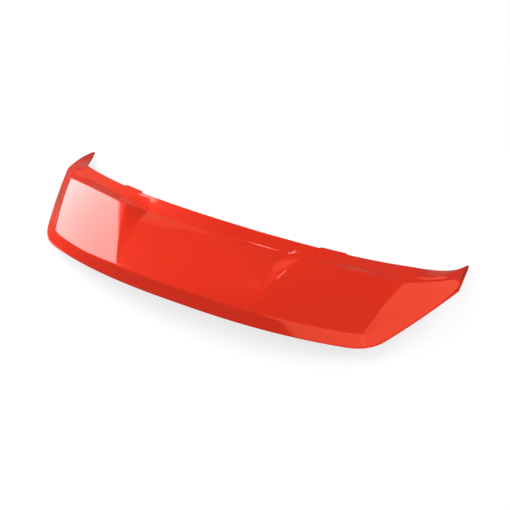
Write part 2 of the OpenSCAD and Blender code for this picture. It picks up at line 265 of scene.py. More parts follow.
def arch(u):
    """How far the skin rises above the straight line between its creases."""
    if u < 1:
        return lerp(DISH_ARCH, FLANK_ARCH, u * u)
    if u < 2:
        return lerp(FLANK_ARCH, FLANK_BULGE, u - 1)
    return lerp(FLANK_BULGE, PANEL_BULGE, u - 2)


def arched(a, b, v, rise):
    return lerp(a, b, v) + vec(0, 0, rise * 4 * v * (1 - v))


def dish(u, v):
    return arched(foot_line(u), rear_line(u), v, arch(u))


def ramp(u, v):
    """From the foot line to the crest."""
    if u < 1:
        return dish(u, CREST_SHARE * v)
    if u < 2:
        raised = lerp(foot_line(2), crest_line(2), v)
        return lerp(dish(1, CREST_SHARE * v), raised, u - 1)
    return lerp(foot_line(u), crest_line(u), v)


def panel(u, v):
    """From the crest to the rear crease."""
    if u < 1:
        return dish(u, lerp(CREST_SHARE, 1, v))
    if u < 2:
        return lerp(dish(1, lerp(CREST_SHARE, 1, v)), panel(2, v), u - 1)
    rise = arch(u) if u < 3 else PANEL_BULGE * max(0, 4 - u)
    return arched(crest_line(u), rear_line(u), v, rise)


def thin_at(u):
    """A share that thins the walls and the folded edges towards the horn's tip."""
    return min(1, TIP_FADE * (5 - u))


def low_front(u):
    """A share that lowers the front flange and the gap below it along the horn."""
    return lerp(1, HORN_FLANGE, clamp01((u - HORN_FROM) * FLANGE_FADE)) * thin_at(u)


@lru_cache(maxsize=None)
def lean(u):
    """The direction in which the lip's return points."""
    ahead = unit(front_line(u) - lip_line(u))
    return unit(lerp(ahead, SIDE_IN, clamp01((u - LEAN_FROM) * FADE)))


@lru_cache(maxsize=None)
def flange_foot(u):
    return front_line(u) - vec(0, thin_at(u), FLANGE_H * low_front(u))


@lru_cache(maxsize=None)
def return_edge(u):
    return lip_line(u) + RETURN_W * thin_at(u) * lean(u)


# Stretches of the upper shell's section, each a function of u and of the way along it
UPPER = [
    lambda u, v: lerp(flange_foot(u), front_line(u), v),
    lambda u, v: lerp(front_line(u), foot_line(u), v),
    ramp,
    panel,
    lambda u, v: lerp(rear_line(u), lip_line(u), v),
    lambda u, v: lerp(lip_line(u), return_edge(u), v),
]


@lru_cache(maxsize=None)
def upper_row(u):
    return [
        flange_foot(u), front_line(u), foot_line(u), crest_line(u),
        panel(u, 0.25), panel(u, 0.5), panel(u, 0.78), rear_line(u), lip_line(u), return_edge(u),
    ]


def under(u, j, distance):
    """A point of the upper section moved straight inward."""
    row = upper_row(u)
    across = upper_row(u + STEP_U)[j] - upper_row(u - STEP_U)[j]
    return row[j] + unit(np.cross(across, row[j + 1] - row[j - 1])) * distance


# Each place below the blade: a fraction of the way back, a share of the shelf's depth, and the
# row of the upper shell that it lies close under at the outer ends
BELLY = [
    (0, 0, 0),
    (0.1, 0.75, 2),
    (0.16, 1, 3),
    (0.46, 0.58, 5),
    (0.55, 0.65, 6),
    (0.6, 0.28, 7),
    (1, 0, 9),
]


@lru_cache(maxsize=None)
def seam_front(u):
    return flange_foot(u) - vec(0, 0, FRONT_GAP * low_front(u))


@lru_cache(maxsize=None)
def seam_rear(u):
    return return_edge(u) + REAR_GAP * thin_at(u) * lean(u)


@lru_cache(maxsize=None)
def belly_point(u, place):
    """A point of the underside: on the shelf, then close under the skin, then at its edge."""
    back, depth, row = place
    edge = lerp(seam_front(u), seam_rear(u), back)
    if depth == 0 or u > 4:
        return edge
    deep = edge - vec(0, 0, SHELF_DEPTH * depth)
    if u < CLOSE_FROM:
        return deep
    near = lerp(deep, under(u, row, CLOSE_GAP), clamp01((u - CLOSE_FROM) * FADE))
    return lerp(near, edge, clamp01((u - EDGE_FROM) * FADE))


@lru_cache(maxsize=None)
def lower_row(u):
    return [belly_point(u, place) for place in BELLY]


def belly_between(u, r):
    """A point of the underside, r places of BELLY back from the front seam."""
    row = lower_row(u)
    i = min(len(row) - 2, int(r))
    return lerp(row[i], row[i + 1], r - i)


def belly_stretch(k):
    """The stretch of the lower shell's section from one place to the next."""
    return lambda u, v: lerp(belly_point(u, BELLY[k]), belly_point(u, BELLY[k + 1]), v)


LOWER = [belly_stretch(k) for k in range(len(BELLY) - 1)]


# ---------------------------------------------------------------- nets with rounded creases
SHARP = 50
MERGE = 2e-6
ROUNDING = (0.25, 0.5, 0.75)
CREASE_ROUNDING = (0.2, 0.4, 0.6, 0.8)
LONGEST_SETBACK = 0.46


def section(stretches, counts, setbacks, u):
    """One station's row of points, with each corner between two stretches rounded."""
    ends = [[0.0, 1.0] for _ in stretches]
    for k, (before, after) in enumerate(setbacks(u), 1):
        for j, side, reach in ((k - 1, 1, before), (k, 0, after)):
            long = np.linalg.norm(stretches[j](u, 1.0) - stretches[j](u, 0.0))
            step = min(LONGEST_SETBACK, reach / max(long, TINY))
            ends[j][side] = 1 - step if side else step
    row = []
    for k, stretch in enumerate(stretches):
        a, b = ends[k]
        row += [stretch(u, lerp(a, b, i / counts[k])) for i in range(counts[k] + 1)]
        if k + 1 < len(stretches):
            c = stretches[k + 1](u, ends[k + 1][0])
            corner = stretch(u, 1.0)
            row += [bez(row[-1], corner, c, t) for t in ROUNDING]
    return np.array(row)


def stations(zones, creases):
    """Values of u at which sections are cut, and the weights that round the creases there."""
    cut, plan = [], []
    for a, b, n in zones:
        lo = a + creases.get(a, (0, 0))[1]
        hi = b - creases.get(b, (0, 0))[0]
        if a in creases:
            corner = len(cut)
            cut.append(a)
            before, after = corner - 1, corner + 1
            for t in CREASE_ROUNDING:
                plan.append([(before, (1 - t) ** 2), (corner, 2 * t * (1 - t)), (after, t * t)])
        first = 0 if a in creases or not cut else 1
        for i in range(first, n + 1):
            plan.append([(len(cut), 1.0)])
            cut.append(lerp(lo, hi, i / n))
    return cut, plan


def half_net(value_at, zones, creases):
    """What value_at gives at each station, blended across the rounded creases."""
    cut, plan = stations(zones, creases)
    rows = [value_at(u) for u in cut]
    return np.array([sum(rows[i] * w for i, w in mix) for mix in plan])


def mirror_values(values):
    return np.concatenate([values[:0:-1], values])


def mirror_net(net):
    return np.concatenate([net[:0:-1] * ACROSS, net])


def net_normals(net):
    """The unit normal at each point of a net."""
    du = np.gradient(net, axis=0)
    dv = np.gradient(net, axis=1)
    n = np.cross(du, dv)
    return n / np.maximum(np.linalg.norm(n, axis=2, keepdims=True), TINY)


def add_object(name, data):
    obj = bpy.data.objects.new(name, data)
    bpy.context.scene.collection.objects.link(obj)
    return obj


def make_object(name, points, faces, material):
    """A smooth-shaded object from points in mm, with its doubles merged."""
    mesh = bpy.data.meshes.new(name)
    mesh.from_pydata([tuple(p * MM) for p in points], [], faces)
    mesh.validate()
    mesh.update()
    bm = bmesh.new()
    bm.from_mesh(mesh)
    bmesh.ops.remove_doubles(bm, verts=bm.verts, dist=MERGE)
    bmesh.ops.recalc_face_normals(bm, faces=bm.faces)
    bm.to_mesh(mesh)
    bm.free()
    mesh.shade_smooth()
    mesh.materials.append(material)
    return add_object(name, mesh)


def tube_faces(m, n):
    """Quads over m rings of n points, closed round the ring, with both ends capped."""
    faces = []
    for i in range(m - 1):
        for j in range(n):
            k = (j + 1) % n
            faces.append((i * n + j, i * n + k, (i + 1) * n + k, (i + 1) * n + j))
    half = n // 2
    for base in (0, (m - 1) * n):
        for j in range(half - 1):
            faces.append((base + j, base + j + 1, base + n - 2 - j, base + n - 1 - j))
    return faces


def ring_object(name, outer, inner, material):
    """A closed solid between two nets."""
    rings = np.concatenate([outer, inner[:, ::-1]], axis=1)
    return make_object(name, rings.reshape(-1, 3), tube_faces(*rings.shape[:2]), material)


def sharpen(obj, degrees=SHARP):
    """Keeps edges that turn by more than an angle sharp in the shading."""
    obj.data.set_sharp_from_angle(angle=math.radians(degrees))
    return obj


def soften_edges(obj, radius):
    """Rounds an object's sharp edges."""
    bevel = obj.modifiers.new("bevel", "BEVEL")
    bevel.width = radius * MM
    bevel.segments = 3
    bevel.limit_method = "ANGLE"
    bevel.angle_limit = math.radians(SHARP)
    return obj


# ---------------------------------------------------------------- materials
def map_range(tree, value, source, result, style="LINEAR"):
    """Maps a value from one range to another, whichever way the ranges run."""
    node = tree.nodes.new("ShaderNodeMapRange")
    node.interpolation_type = style
    low, high = (source, result) if source[0] < source[1] else (source[::-1], result[::-1])
    for socket, number in zip(("From Min", "From Max", "To Min", "To Max"), (*low, *high)):
        node.inputs[socket].default_value = number
    tree.links.new(value, node.inputs["Value"])
    return node.outputs["Result"]


class Nodes:
    """Short ways to make and link the nodes of one material."""

    def __init__(self, name, base, rough, **sockets):
        self.material = bpy.data.materials.new(name)
        self.material.use_nodes = True
        self.tree = self.material.node_tree
        self.tree.nodes.clear()
        output = self.tree.nodes.new("ShaderNodeOutputMaterial")
        self.shader = self.tree.nodes.new("ShaderNodeBsdfPrincipled")
        self.link(self.shader.outputs["BSDF"], output.inputs["Surface"])
        self.shader.inputs["Base Color"].default_value = (*base, 1)
        self.shader.inputs["Roughness"].default_value = rough
        for key, value in sockets.items():
            self.shader.inputs[key.replace("_", " ")].default_value = value
        self.place = self.tree.nodes.new("ShaderNodeTexCoord").outputs["Object"]

    def link(self, a, b):
        self.tree.links.new(a, b)

    def add(self, kind, **values):
        node = self.tree.nodes.new(kind)
        for key, value in values.items():
            node.inputs[key].default_value = value
        return node

    def noise(self, scale, detail=2.0):
        node = self.add("ShaderNodeTexNoise", Scale=scale, Detail=detail)
        self.link(self.place, node.inputs["Vector"])
        return node.outputs["Fac"]

    def cells(self, scale, feature="F1"):
        node = self.add("ShaderNodeTexVoronoi", Scale=scale)
        node.feature = feature
        self.link(self.place, node.inputs["Vector"])
        return node.outputs["Distance"]

    def colour(self, value, low, high, start=0.3, end=0.7):
        """Colours the surface from low to high as the value goes from start to end."""
        node = self.add("ShaderNodeValToRGB")
        first, last = node.color_ramp.elements
        first.position, last.position = start, end
        first.color, last.color = (*low, 1), (*high, 1)
        self.link(value, node.inputs["Fac"])
        self.link(node.outputs["Color"], self.shader.inputs["Base Color"])

    def roughness(self, value, low, high):
        mapped = map_range(self.tree, value, (0.0, 1.0), (low, high))
        self.link(mapped, self.shader.inputs["Roughness"])

    def bump(self, value, distance, strength=1.0, socket="Normal"):
        """Bumps of a height in metres, on the base or on the coat."""
        node = self.add("ShaderNodeBump", Strength=strength, Distance=distance)
        self.link(value, node.inputs["Height"])
        self.link(node.outputs["Normal"], self.shader.inputs[socket])


def paint():
    """Solid red with a fine flake, under a clear coat with a faint orange peel."""
    m = Nodes("red paint", (0.88, 0.036, 0.012), 0.2, Metallic=0.1, Specular_IOR_Level=0.1,
              Coat_Weight=1.0, Coat_Roughness=0.02, Coat_IOR=1.6)
    m.colour(m.cells(2600), (0.9, 0.035, 0.011), (0.84, 0.028, 0.008), 0.1, 0.9)
    m.roughness(m.noise(900), 0.16, 0.24)
    m.bump(m.noise(260, 1.0), 0.00003, 0.2, "Coat Normal")
    return m.material


def shaded(colour, share):
    return tuple(c * share for c in colour)


def plastic(name, base, scale, rough, depth):
    """Moulded plastic with grains of a scale per metre and a depth in metres."""
    m = Nodes(name, base, 0.5)
    m.colour(m.noise(18, 3.0), shaded(base, 0.7), base)
    m.roughness(m.noise(240), *rough)
    m.bump(m.cells(scale, "SMOOTH_F1"), depth)
    return m.material


def foam(name, base):
    """Open-cell foam, with painted shade darkening its pores."""
    m = Nodes(name, base, 0.9)
    # Painted shade: the middle of each pore is coloured darker, as if shade fell in it
    m.colour(m.cells(1500), shaded(base, 0.4), base, 0.1, 0.5)
    m.bump(m.cells(1500), 0.0003)
    return m.material


def steel():
    """Zinc-plated steel with a slightly cloudy finish."""
    m = Nodes("zinc plate", (0.62, 0.6, 0.52), 0.3, Metallic=1.0)
    m.colour(m.noise(90, 3.0), (0.46, 0.45, 0.4), (0.72, 0.7, 0.62))
    m.roughness(m.noise(500), 0.22, 0.42)
    m.bump(m.noise(1800), 0.00003)
    return m.material


RED = paint()
UNDERSIDE = plastic("grained plastic", (0.055, 0.055, 0.058), 1400, (0.42, 0.6), 0.00012)
BLACK = plastic("satin plastic", (0.045, 0.045, 0.048), 2600, (0.3, 0.45), 0.00004)
NYLON = plastic("nylon", (0.72, 0.69, 0.6), 900, (0.35, 0.5), 0.00003)
GLUE = plastic("adhesive", (0.05, 0.05, 0.052), 500, (0.25, 0.5), 0.0002)
FOAM = foam("cell foam", (0.035, 0.035, 0.037))
ACETAL = plastic("acetal", (0.02, 0.02, 0.021), 900, (0.25, 0.4), 0.00002)
LINER = plastic("tape liner", (0.3, 0.02, 0.02), 700, (0.35, 0.5), 0.00003)
RUBBER = plastic("rubber", (0.03, 0.03, 0.031), 3000, (0.6, 0.8), 0.00005)
STEEL = steel()


# ---------------------------------------------------------------- shells
EDGE_R, FACET_R, FACET_EASE = 3.5, 30, 0.35
SHELF_R, END_R, SHELF_EASE = 9, 3, 0.5


def upper_setbacks(u):
    """How far the rounding of each crease reaches before and after it, in mm."""
    side = lerp(EDGE_R, FACET_R, smooth((u - 3) / FACET_EASE))
    return [(2.6, 3), (5, 5), (4, 4), (side, side), (3, 3)]


def lower_setbacks(u):
    soft = lerp(SHELF_R, END_R, smooth((u - 2.7) / SHELF_EASE))
    return [(soft, soft), (soft, soft), (soft, soft), (6, 6), (8, 8)]


# The creases between the zones, with how far before and after them their rounding reaches in
# u, and the zones, each with the number of steps across it
CREASES = {1: (0.02, 0.12), 2: (0.1, 0.016), 3: (0.016, 0.03), 4: (0.03, 0.03)}
ZONES = [(0, 1, 36), (1, 2, 10), (2, 3, 44), (3, 4, 30), (4, TIP_U, 24)]
LOWER_CREASES = {1: (0.04, 0.2), 2: (0.2, 0.04), 3: (0.04, 0.06), 4: (0.06, 0.06)}


def place_piece(obj, node):
    """Rides a piece on the one body, and hides the imported node that it stands for."""
    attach(obj, "root")
    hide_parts(node)


def shell(name, stretches, counts, setbacks, creases, side, material):
    """A thin-walled shell over the mirrored sections, with its wall on one side of them."""
    net = mirror_net(half_net(lambda u: section(stretches, counts, setbacks, u), ZONES, creases))
    thickness = mirror_values(half_net(thin_at, ZONES, creases)) * WALL * side
    inner = net + net_normals(net) * thickness[:, None, None]
    return sharpen(ring_object(name, net, inner, material))


blade = shell("blade_skin", UPPER, [2, 6, 8, 24, 8, 3], upper_setbacks, CREASES, 1, RED)
place_piece(blade, "upper_shell")
tray = shell("underside_skin", LOWER, [4, 4, 8, 4, 3, 12], lower_setbacks, LOWER_CREASES, -1,
             UNDERSIDE)
place_piece(tray, "lower_shell")


# ---------------------------------------------------------------- seams, seals and tapes
def spread(a, b, n):
    return [lerp(a, b, i / n) for i in range(n + 1)]


def strip(name, u_list, side, row_at, near, far, material):
    """A solid strip: a net of rows, thickened from one distance off it to another."""
    rows = [row_at(abs(u)) * (ACROSS if u < 0 else 1) for u in u_list]
    net = np.array(rows) * vec(side, 1, 1)
    n = net_normals(net) * side
    return sharpen(ring_object(name, net + n * near, net + n * far, material))


BEAD_STEPS, BEAD_SHARP = 10, 60
BEAD_CLEAR, BEAD_EDGE = 0.2, 0.3
# Each foam strip's reach to either side in u, the rows that it lies between, and its height
FOAM_STRIPS = {"front": (2.875, 0.35, 0.75, 6), "heel": (2.75, 3.5, 3.85, 5)}


def bead(name, u_list, a, b, height):
    """A foam strip of domed section, stuck to the underside between rows a and b."""
    places = spread(a, b, BEAD_STEPS)
    net = np.array([[belly_between(abs(u), r) for r in places] for u in u_list])
    net[np.array(u_list) < 0] *= ACROSS
    n = net_normals(net)
    aside = np.array([abs(2 * i / BEAD_STEPS - 1) for i in range(BEAD_STEPS + 1)])
    dome = (1 - aside**3) ** 0.5
    out = net + n * (BEAD_EDGE + (height - BEAD_EDGE) * dome)[None, :, None]
    return sharpen(ring_object(name, net + n * BEAD_CLEAR, out, FOAM), BEAD_SHARP)


SIDES = ((1, "right"), (-1, "left"))
TONGUE_U = (2.185, 2.46)
TONGUE_CLEAR = 0.005
SEAM_ENDS = (0.15, 0.85)
BOND_T, BOND_CLEAR = 1.8, 0.3
TAPE_U, TAPE_ROWS = (3.9, 4.5), (2.2, 4.6)
TAPE_T, TAPE_CLEAR = 1.0, 0.2


def front_bead_row(u):
    a, b = flange_foot(u), seam_front(u)
    return np.array([lerp(a, b, share) for share in SEAM_ENDS])


def rear_bead_row(u):
    a, b = return_edge(u), seam_rear(u)
    return np.array([lerp(a, b, share) for share in SEAM_ENDS])


def front_bond(label, us, side):
    """One of the three runs of adhesive that the tongues part."""
    run = strip(f"front_bond_{label}", us, side, front_bead_row, -BOND_T, 0, GLUE)
    place_piece(run, "front_bond")


inner_end, outer_end = TONGUE_U[0] - TONGUE_CLEAR, TONGUE_U[1] + TONGUE_CLEAR
front_bond("middle", spread(-inner_end, inner_end, 80), 1)
for side, label in SIDES:
    front_bond(label, spread(outer_end, 4.0, 60), side)
rear_bead = strip("rear_bond_bead", spread(-4, 4, 240), 1, rear_bead_row, BOND_CLEAR,
                  BOND_CLEAR + BOND_T, GLUE)
place_piece(rear_bead, "rear_bond")
for kind, (reach, a, b, height) in FOAM_STRIPS.items():
    foam_strip = bead(f"{kind}_foam", spread(-reach, reach, 200), a, b, height)
    place_piece(foam_strip, f"{kind}_seal")


def tape_row(u):
    return np.array([belly_between(u, r) for r in spread(*TAPE_ROWS, 8)])


for side, label in SIDES:
    tape = strip(f"tape_{label}", spread(*TAPE_U, 24), side, tape_row, TAPE_CLEAR,
                 TAPE_CLEAR + TAPE_T, LINER)
    place_piece(tape, "end_tapes")


# ---------------------------------------------------------------- tongues
TONGUE_OUT, TONGUE_IN, TONGUE_T = 15, 24, 2.4
TONGUE_RISE = 0.02
TONGUE_EDGE, TONGUE_CORNER, CORNER_STATIONS = 0.5, 6, 3
TONGUE_ALONG, TONGUE_ACROSS = 24, 14


def tongue(name, side):
    """A flat tab through the front seam, with its two free corners rounded."""
    us = spread(*TONGUE_U, TONGUE_ALONG)
    rows = []
    for i, u in enumerate(us):
        along = unit(front_line(u + STEP_U / 2) - front_line(u - STEP_U / 2))
        ahead = unit(vec(-along[1], along[0], 0))
        root = (flange_foot(u) + seam_front(u)) / 2
        end = min(i, len(us) - 1 - i) / CORNER_STATIONS
        corner = TONGUE_CORNER * (1 - math.sqrt(max(0, 1 - (1 - min(end, 1)) ** 2)))
        reaches = spread(-TONGUE_IN, TONGUE_OUT - corner, TONGUE_ACROSS)
        rows.append([root + ahead * k + vec(0, 0, TONGUE_RISE * max(0, -k)) for k in reaches])
    net = np.array(rows) * vec(side, 1, 1)
    lift = vec(0, 0, TONGUE_T / 2)
    return soften_edges(ring_object(name, net + lift, net - lift, RED), TONGUE_EDGE)


for side, label in SIDES:
    place_piece(tongue(f"tongue_tab_{label}", side), f"tongue_{label}")


# ---------------------------------------------------------------- feet and their fixings
# Each foot's two ends along the shelf, and the middle of its level face
FEET = {
    "inner": ((0.6, 0.82), vec(136, -50, -108)),
    "outer": ((2.4, 2.6), vec(336, 2, -146)),
    "pin": ((2.06, 2.22), vec(240, -28, -126)),
}
GLUE_T, GLUE_CLEAR = 0.8, 0.2
FOOT_SHARES = (0.22, 0.78)
FOOT_DRAFT, FOOT_ROUND = 0.86, 1.6
TURN_STEPS = 48
FOOT_SHARP, TURN_SHARP = 35, 45


def shelf(u, a, drop):
    """A point a share of the way back over the level part of the shelf, moved down."""
    return lerp(belly_point(u, BELLY[2]), belly_point(u, BELLY[3]), a) - vec(0, 0, drop)


def foot_block(name, foot, side):
    """A drafted block from its bond down to its level face, with every edge rounded."""
    us, seat = foot
    corners = [shelf(u, a, GLUE_CLEAR + GLUE_T) for u in us for a in FOOT_SHARES]
    for u in us:
        for a in FOOT_SHARES:
            p = shelf(u, a, 0)
            x, y = lerp(seat[:2], p[:2], FOOT_DRAFT)
            corners.append(vec(x, y, seat[2]))
    bm = bmesh.new()
    verts = [bm.verts.new(tuple(p * vec(side, 1, 1) * MM)) for p in corners]
    bmesh.ops.convex_hull(bm, input=verts)
    bmesh.ops.dissolve_limit(bm, angle_limit=0.02, verts=bm.verts, edges=bm.edges)
    bmesh.ops.bevel(bm, geom=bm.edges[:], offset=FOOT_ROUND * MM, segments=3, affect="EDGES",
                    profile=0.5)
    mesh = bpy.data.meshes.new(name)
    bm.to_mesh(mesh)
    bm.free()
    mesh.materials.append(BLACK)
    mesh.shade_smooth()
    return sharpen(add_object(name, mesh), FOOT_SHARP)


def ring_of(profile, around):
    """The points of a profile of (radius, height), turned round the axis."""
    points = []
    for i in range(around):
        turn = 2 * math.pi * i / around
        points += [vec(r * math.cos(turn), r * math.sin(turn), z) for r, z in profile]
    return points


def ring_faces(start, n, around):
    """Quads over the points of ring_of, for a profile of n points."""
    faces = []
    for i in range(around):
        a, b = start + i * n, start + (i + 1) % around * n
        faces += [(a + j, b + j, b + j + 1, a + j + 1) for j in range(n - 1)]
    return faces


def lathe(name, profile, material, at, side):
    """A turned piece: profile is (radius, height) from the axis round to the axis, in mm."""
    points = [at(p) * vec(side, 1, 1) for p in ring_of(profile, TURN_STEPS)]
    obj = make_object(name, points, ring_faces(0, len(profile), TURN_STEPS), material)
    return sharpen(obj, TURN_SHARP)


def rounded(profile, radius, steps=4):
    """The profile with each corner between its ends turned into a short curve."""
    out = [profile[0]]
    for a, b, c in zip(profile, profile[1:], profile[2:]):
        a, b, c = (np.array(p, float) for p in (a, b, c))
        before, after = np.linalg.norm(a - b), np.linalg.norm(c - b)
        p = b + (a - b) / before * min(radius, before * 0.45)
        q = b + (c - b) / after * min(radius, after * 0.45)
        out += [tuple(bez(p, b, q, i / steps)) for i in range(steps + 1)]
    return out + [profile[-1]]


def shifted(seat):
    return lambda p: p + seat


STUD_R, STUD_LEN = 3, 24
PITCH, THREAD_DEPTH, PITCH_STEPS = 1.0, 0.55, 10
THREAD_RUN_IN, THREAD_CREST = 1.2, 0.12
STUD_CHAMFER = 1.0
STUD_STEPS = 32
HEAD_R, HEAD_H, HEAD_CLEAR = 7, 3, 0.05


def thread_radius(z, share):
    """The stud's radius at a depth and a share of a turn."""
    run_in = clamp01((z - THREAD_RUN_IN) / PITCH) * clamp01((STUD_LEN - z) / THREAD_RUN_IN)
    wave = abs(2 * ((z / PITCH - share) % 1) - 1)
    groove = THREAD_DEPTH * smooth((wave - THREAD_CREST) / (1 - 2 * THREAD_CREST))
    end = STUD_CHAMFER * clamp01((z - STUD_LEN + STUD_CHAMFER) / STUD_CHAMFER)
    return STUD_R - groove * clamp01(run_in * 3) - end


def stud(name, seat, side):
    """A threaded stud below its disc head."""
    points, faces = [], []
    levels = np.arange(0, STUD_LEN + TINY, PITCH / PITCH_STEPS)
    for z in levels:
        for i in range(STUD_STEPS):
            r = thread_radius(z, i / STUD_STEPS)
            turn = 2 * math.pi * i / STUD_STEPS
            points.append(vec(r * math.cos(turn), r * math.sin(turn), -z))
    for k in range(len(levels) - 1):
        a, b = k * STUD_STEPS, (k + 1) * STUD_STEPS
        for i in range(STUD_STEPS):
            j = (i + 1) % STUD_STEPS
            faces.append((a + i, a + j, b + j, b + i))
    end = (len(levels) - 1) * STUD_STEPS
    tip = len(points)
    points.append(vec(0, 0, -STUD_LEN))
    faces += [(end + i, end + (i + 1) % STUD_STEPS, tip) for i in range(STUD_STEPS)]
    profile = [(0, HEAD_H), (HEAD_R, HEAD_H), (HEAD_R, HEAD_CLEAR), (STUD_R, HEAD_CLEAR)]
    head = rounded(profile, 0.4)
    start, n = len(points), len(head)
    points += ring_of(head, STUD_STEPS)
    faces += ring_faces(start, n, STUD_STEPS)
    for i in range(STUD_STEPS):
        k = (i + 1) % STUD_STEPS
        faces.append((start + i * n + n - 1, start + k * n + n - 1, k, i))
    points = [(p + seat) * vec(side, 1, 1) for p in points]
    return sharpen(make_object(name, points, faces, STEEL))


PIN_R, PIN_LEN, PIN_NOSE = 4, 14, 4
COLLAR_R, COLLAR_H = 8, 2
SEAL_IN, SEAL_OUT, SEAL_H = 9, 15, 3


def pin_profile():
    """A collar, a round shank and a tapered nose."""
    shank_end = -COLLAR_H - PIN_LEN
    profile = [
        (0, 0), (COLLAR_R, 0), (COLLAR_R, -COLLAR_H), (PIN_R, -COLLAR_H), (PIN_R, shank_end),
        (PIN_R / 2, shank_end - PIN_NOSE), (0, shank_end - PIN_NOSE),
    ]
    return rounded(profile, 0.6)


def seal_profile():
    """A flat ring, which starts and ends halfway up its bore."""
    middle = (SEAL_IN, -SEAL_H / 2)
    corners = [(SEAL_IN, -SEAL_H), (SEAL_OUT, -SEAL_H), (SEAL_OUT, 0), (SEAL_IN, 0)]
    return rounded([middle, *corners, middle], 0.8)


def fit_pin(label, seat, side):
    pin = lathe(f"locating_pin_{label}", pin_profile(), ACETAL, shifted(seat), side)
    place_piece(pin, "locating_pins")


def fit_stud(kind, label, seat, side):
    place_piece(stud(f"{kind}_stud_{label}", seat, side), f"{kind}_studs")
    seal = lathe(f"{kind}_seal_{label}", seal_profile(), FOAM, shifted(seat), side)
    place_piece(seal, "foot_seals")


for side, label in SIDES:
    for kind, foot in FEET.items():
        block = foot_block(f"{kind}_foot_{label}", foot, side)
        place_piece(block, f"{kind}_feet")
        if kind == "pin":
            fit_pin(label, foot[1], side)
        else:
            fit_stud(kind, label, foot[1], side)


# ---------------------------------------------------------------- clips, pads and plugs
CLIP_U, CLIP_SHARE, CLIP_DROP = 2.72, 0.3, 3
TOWER_R, TOWER_END_R, TOWER_H = 11, 10.4, 12
FIN_COUNT, FIN_PITCH, FIN_R, FIN_TAPER = 4, 3, 5.4, 0.3
STEM_R = 2.6


def clip_seat():
    row = lower_row(CLIP_U)
    return lerp(row[3], row[4], CLIP_SHARE) - vec(0, 0, CLIP_DROP)


def fir_tree():
    """The clip's profile: a disc, a stem and four springy fins."""
    points = [(0, 0), (9, 0), (9, -0.8), (7, -1.6), (3, -1.6)]
    for i in range(FIN_COUNT):
        z = -FIN_PITCH * (i + 1)
        reach = FIN_R - FIN_TAPER * i
        points += [(STEM_R, z + 0.6), (reach, z + 0.9), (reach - 0.1, z + 0.5), (STEM_R, z - 0.6)]
    return points + [(2.2, -17), (0, -18)]


TOWER = rounded([(0, 0), (TOWER_R, 0), (TOWER_END_R, -TOWER_H), (0, -TOWER_H)], 1.0)
CLIP = rounded(fir_tree(), 0.25, 2)
for side, label in SIDES:
    seat = clip_seat()
    tower = lathe(f"clip_tower_{label}", TOWER, BLACK, shifted(seat), side)
    place_piece(tower, "clip_towers")
    clip = lathe(f"edge_clip_{label}", CLIP, NYLON, shifted(seat - vec(0, 0, TOWER_H)), side)
    place_piece(clip, "edge_clips")


def belly_frame(u, r, gap):
    """Maps points so that +Z stands out of the underside at a place on it."""
    a = belly_between(u, r)
    du = belly_between(u + STEP_U, r) - belly_between(u - STEP_U, r)
    dr = belly_between(u, r + STEP_U) - belly_between(u, r - STEP_U)
    z = unit(np.cross(du, dr))
    x = unit(du - z * du.dot(z))
    y = np.cross(z, x)
    return lambda p: a + z * gap + x * p[0] + y * p[1] + z * p[2]


PAD = rounded([(0, 0), (8, 0), (8, 4.5), (5, 7), (0, 7)], 1.2)
PLUG = rounded([(0, 0), (7, 0), (7, 1.6), (4, 1.7), (3.4, 2.8), (0, 2.8)], 0.5)
PAD_PLACES, PAD_ROW = (0.35, 2.75), 5.12
PLUG_PLACES, PLUG_ROW = (0.7, 2.5), 5.8
SKIN_GAP = 0.4


def studded(name, profile, u, row, side):
    """A rubber piece pressed into the underside."""
    return lathe(name, profile, RUBBER, belly_frame(u, row, SKIN_GAP), side)


for side, label in SIDES:
    for i, u in enumerate(PAD_PLACES):
        pad = studded(f"bump_pad_{label}_{i}", PAD, u, PAD_ROW, side)
        place_piece(pad, "bump_pads")
    for i, u in enumerate(PLUG_PLACES):
        plug = studded(f"drain_plug_{label}_{i}", PLUG, u, PLUG_ROW, side)
        place_piece(plug, "drain_plugs")

# ---------------------------------------------------------------- carried-over nodes
SLOT_LOOKS = {
    "underside_plastic": UNDERSIDE, "rib_plastic": UNDERSIDE, "foot_plastic": BLACK,
    "pin_plastic": BLACK, "clip_nylon": NYLON, "adhesive": GLUE, "seal_foam": FOAM,
    "pad_rubber": RUBBER, "stud_steel": STEEL, "tape": FOAM, "body_paint": RED,
    "tongue_paint": RED,
}
slot_of = {s["node"]: s["material_slot"] for s in frame["record"]["subparts"]}
for name, node in frame["nodes"].items():
    node.data.materials.clear()
    node.data.materials.append(SLOT_LOOKS[slot_of[name]])


# ---------------------------------------------------------------- studio
def heading(azimuth, rise):
    """The direction at an azimuth from +Y towards +X and a height above the horizon, in degrees."""
    a, e = math.radians(azimuth), math.radians(rise)
    return vec(math.sin(a) * math.cos(e), math.cos(a) * math.cos(e), math.sin(e))


BOX_DISTANCE = 3.0
BORDER = 0.08


def window_size(azimuths, rises):
    """The width and height of a box that fills a window of directions."""
    turn, lift = (math.radians(abs(b - a) / 2) for a, b in (azimuths, rises))
    level = math.cos(math.radians(sum(rises) / 2))
    return 2 * BOX_DISTANCE * math.tan(turn) * level, 2 * BOX_DISTANCE * math.tan(lift)


